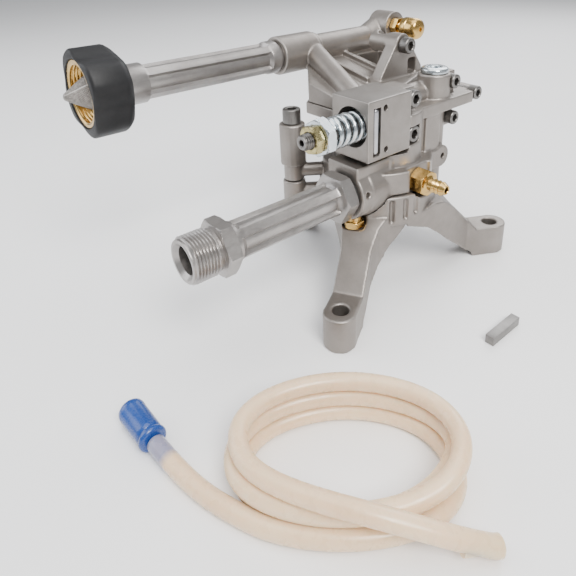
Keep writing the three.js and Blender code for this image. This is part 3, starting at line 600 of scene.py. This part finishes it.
# ---------------------------------------------------------------- unloader stem, nuts and spring
STEM = (12.7, 99.6)
stem_rings = [(-61.5, 0), (-61.5, hexagon(3, 0)), (-65.2, hexagon(3, 0)), (-65.5, 2.0), (-65.5, 3.2)]
stem_rings += thread_rings(4.0, 0.62, 1.25, -65.2, -51.0)
stem_rings += [(-50.8, 3.9), (-17.7, 3.9), (-17.7, 9.5), (-17.4, 9.8), (-12.3, 9.8), (-12, 9.5), (-12, 0)]
turned("unloader_rod", "y", STEM, stem_rings, DARK_STEEL, "unloader", ("unloader_stem",), 96)


def nut(name, flats, start, end, corner, material, node, chamfer):
    rings = [(end - 0.4, 4.08), (start + 0.4, 4.08), (start, 4.5)]
    rings += nut_rings(flats, start, end, corner, chamfer) + [(end, 4.5)]
    return turned(name, "y", STEM, rings, material, "unloader", (node,), 144, True, 24)


nut("lock_nut", 13, -61, -56.5, -30 - math.degrees(0.3), YELLOW_ZINC, "unloader_lock_nut",
    0.8)
nut("spring_retainer", 17, -56.2, -50.8, -30, ZINC, "unloader_spring_retainer", 0.9)


def spring(start=-49.1, end=-21.4, coil=6.8, wire=1.4, closed=1.0, active=4.6):
    """A compression spring with its end turns closed up."""
    dead = 2 * wire + 0.05
    total = 2 * closed + active
    rise = (end - start - 2 * closed * dead) / active
    points = []
    count = int(total * 40)
    for i in range(count + 1):
        turn = total * i / count
        first = min(turn, closed)
        middle = min(max(turn - closed, 0), active)
        last = max(turn - closed - active, 0)
        y = start + first * dead + middle * rise + last * dead
        angle = TAU * turn + 0.6
        points.append((STEM[0] + coil * math.cos(angle), y, STEM[1] + coil * math.sin(angle)))
    verts, faces = sweep(points, wire, 18)
    made = finish_piece("coil_spring", verts, faces, ZINC, "pump_body", ("unloader_spring",),
                        50)
    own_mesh(made)
    return made


spring()
pin_rings = [(86, 0), (86.1, 0.7), (86.5, 1.3), (87.2, 1.65), (88, 1.7), (108, 1.7), (108.8, 1.65),
             (109.5, 1.3), (109.9, 0.7), (110, 0)]
turned("retaining_pin", "z", (22.7, -26.8), pin_rings, STEEL, "pump_body",
       ("unloader_retaining_pin",), 48)

# ---------------------------------------------------------------- brass fittings and the deck cap
RELIEF = (69.5, 130.0)
relief_rings = [(-57, 0), (-57, 3.9), (-56.6, 4.1), (-49.7, 4.1)] + nut_rings(11, -49.7, -44.5, 0, 0.6)
relief_rings += [(-44.5, 3.7), (-44.2, 3.4), (-42.2, 3.4), (-42, 3.2), (-42, 0)]
turned("relief_fitting", "x", RELIEF, relief_rings, BRASS, "pump_body", ("relief_valve_body",),
       120, False, 24)
cap_rings = [(-41.7, 0), (-41.7, 5.9), (-41.4, 6.3), (-40.6, 6.8), (-37.2, 6.8), (-36.9, 6.5), (-36.5, 6.5),
             (-36.2, 6.8), (-32, 6.8), (-31, 6.5), (-30, 6.0), (-29.1, 4.9), (-28.8, 3.5), (-28.5, 2.2),
             (-28.5, 1.4), (-29.6, 1.2), (-29.6, 0)]
turned("relief_cap", "x", RELIEF, cap_rings, BRASS, "pump_body", ("relief_valve_cap",), 96)

BARB = (2.4, 64.6)
barb_rings = [(31.2, 0), (31.2, 1.7), (46.6, 1.7), (47, 2.0), (47, 2.4), (46.8, 2.6), (46.5, 2.7)]
barb_profile = [(44.2, 3.9), (43.8, 3.7), (43.6, 3.1), (43.2, 3.0), (41.8, 3.9), (41.4, 3.7), (41.2, 3.1),
                (40.8, 3.0), (39.4, 3.9), (39.0, 3.3), (38.6, 3.1), (36.6, 3.4), (35.9, 4.6)]
barb_rings += barb_profile + [(35.8, 4.9)]
barb_rings += list(reversed(nut_rings(13, 27.3, 35.8, 30, 0.8))) + [(27.3, 4.4), (27.2, 4.1), (25.9, 4.1),
                                                                    (25.7, 3.9), (25.7, 0)]
turned("injector_fitting", "x", BARB, barb_rings, BRASS, "pump_body", ("injector_barb",), 120,
       False, 24)
plug_rings = [(44.2, 0), (44.2, 3.6), (44.2, 3.9)] + nut_rings(10, 44.2, 48.1, 30, 0.6)
plug_rings += [(48.1, 4.4), (48.3, 4.2), (52.3, 4.2), (52.3, 0)]
turned("body_plug", "z", (14, -32.5), plug_rings, BRASS, "pump_body", ("outlet_body_plug",), 96,
       False, 24)
cap_profile = [(114.9, 0), (114.9, 7.6), (115.1, 7.8), (116.6, 7.8), (117.1, 7.6), (117.6, 7.0),
               (117.8, 6.4), (117.8, 4.3), (117.5, 4.0), (116.9, 3.9), (116.9, hexagon(5, 0)),
               (116.0, hexagon(5, 0)), (116.0, 0)]
turned("passage_cap", "z", (9.5, 36), cap_profile, ZINC, "pump_body", ("deck_cap",), 96)


# ---------------------------------------------------------------- socket screws
def cap_screw(name, node, axis, centre, seat, start, head, height, shank):
    """A socket cap screw: knurled head, chamfered top, hexagon socket."""
    teeth = 36
    def knurl(angle):
        return head - 0.09 * (0.5 + 0.5 * math.cos(teeth * angle))
    top = seat + height
    flats = head * 0.98
    rings = [(start, 0), (start, shank - 0.3), (start + 0.4, shank), (seat, shank), (seat, head - 0.3),
             (seat + 0.3, knurl), (top - 0.9, knurl), (top - 0.8, head - 0.05), (top - 0.45, head - 0.12),
             (top - 0.12, head - 0.42), (top, head - 0.8), (top, flats * 0.62),
             (top - 0.35, hexagon(flats, 0)), (top - height * 0.5, hexagon(flats, 0)),
             (top - height * 0.56, flats * 0.3), (top - height * 0.62, 0)]
    return turned(name, axis, centre, rings, DARK_STEEL, "pump_body", (node,), 144, False, 26)


COLUMNS = [(-28, -38.5), (-28, 38.5), (9.5, 36)]
for number, centre in enumerate(COLUMNS, 1):
    cap_screw(f"head_bolt_{number}", f"head_screw_{number}", "z", centre, 93.8, 44, 5.0, 8.0, 2.9)
SIDE_SCREWS = [
    ("unloader_screw_upper", 3.2, 108.6, 17.5, 4.6, 6.0), ("unloader_screw_lower", 3.2, 89.4, 17.5, 4.6,
                                                           6.0),
    ("deck_screw_upper", 43.3, 109.6, 13.7, 4.1, 6.0), ("deck_screw_end", 66.3, 98.4, 13.7, 4.1, 6.0),
    ("deck_screw_lower", 44.2, 88, 13.7, 4.1, 6.0), ("bracket_screw", 36, 127, -14, 4.7, 5.5),
]
for node, y, z, seat, head, height in SIDE_SCREWS:
    cap_screw(node.replace("screw", "bolt"), node, "x", (y, z), seat + 0.3, seat - 9, head, height, 2.4)


# ---------------------------------------------------------------- shaft key, with broken edges
def broken_edges(name, node, material, body, width):
    source = bpy.data.objects.new("source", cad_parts[node].data.copy())
    bpy.context.scene.collection.objects.link(source)
    weld = source.modifiers.new("weld", "WELD")
    weld.merge_threshold = 1e-6
    bevel = source.modifiers.new("bevel", "BEVEL")
    bevel.width = width * MM
    bevel.segments = 3
    bevel.limit_method = "ANGLE"
    bevel.angle_limit = math.radians(50)
    bpy.context.view_layer.update()
    mesh = bpy.data.meshes.new_from_object(source.evaluated_get(bpy.context.evaluated_depsgraph_get()))
    mesh.name = name
    bpy.data.objects.remove(source)
    return adopt(name, mesh, material, body, (node,), 40)


broken_edges("key_bar", "shaft_key", DARK_STEEL, "key", 0.3)


def piston_coils():
    """The piston springs."""
    for number in (1, 2, 3):
        node = f"piston_spring_{number}"
        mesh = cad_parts[node].data.copy()
        mesh.name = f"piston_coil_{number}"
        coil = adopt(mesh.name, mesh, ZINC, "pump_body", (node,), 40)
        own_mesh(coil)


piston_coils()

# ---------------------------------------------------------------- CAD nodes that stay
KEPT = {
    "drive_shaft": STEEL, "main_bearing_inner_race": STEEL, "main_bearing_outer_race": STEEL,
    "main_bearing_cage": DARK_STEEL, "shaft_seal": RUBBER, "unloader_spring_seat": ZINC,
        "outlet_washer": RUBBER,
    "inlet_washer": RUBBER,
}
for i in (1, 2, 3):
    KEPT.update({f"piston_{i}": STEEL, f"piston_seal_{i}": RUBBER, f"discharge_valve_{i}": STEEL})
for node, material in KEPT.items():
    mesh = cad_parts[node].data
    for index in range(len(mesh.materials)):
        mesh.materials[index] = material


# ---------------------------------------------------------------- floor and light
def floor():
    mesh = bpy.data.meshes.new("floor")
    reach = 6.0
    mesh.from_pydata([(-reach, -reach, 0), (reach, -reach, 0), (reach, reach, 0), (-reach, reach, 0)], [],
                     [(0, 1, 2, 3)])
    obj = bpy.data.objects.new("floor", mesh)
    bpy.context.scene.collection.objects.link(obj)
    n = Nodes("floor_white")
    n.join(n.ramp(n.noise(3, 2), [(0.3, (0.90, 0.90, 0.905)), (0.7, (0.92, 0.92, 0.925))]),
           n.shader.inputs["Base Color"])
    n.shader.inputs["Roughness"].default_value = 0.7
    mesh.materials.append(n.material)


def light(name, place, aim, size, power, color=(1, 1, 1)):
    data = bpy.data.lights.new(name, "AREA")
    data.size = size
    data.energy = power
    data.color = color
    obj = bpy.data.objects.new(name, data)
    bpy.context.scene.collection.objects.link(obj)
    direction = Vector(aim) - Vector(place)
    obj.matrix_world = Matrix.Translation(place) @ direction.to_track_quat("-Z", "Y").to_matrix().to_4x4()


floor()
light("key_light", (0.75, -0.25, 0.85), (0.0, -0.02, 0.06), 0.45, 16, (1.0, 0.985, 0.96))
light("fill_light", (-0.75, -0.75, 0.55), (0.0, -0.03, 0.08), 0.8, 7, (0.93, 0.96, 1.0))
light("back_light", (-0.3, 0.85, 0.75), (0.0, 0.0, 0.08), 0.7, 8, (0.97, 0.98, 1.0))
light("top_light", (0.05, -0.1, 1.1), (0.0, 0.0, 0.0), 1.0, 10)
world = bpy.data.worlds.new("studio")
bpy.context.scene.world = world
world.use_nodes = True
world.node_tree.nodes["Background"].inputs["Color"].default_value = (0.95, 0.97, 1.0, 1)
world.node_tree.nodes["Background"].inputs["Strength"].default_value = 0.45
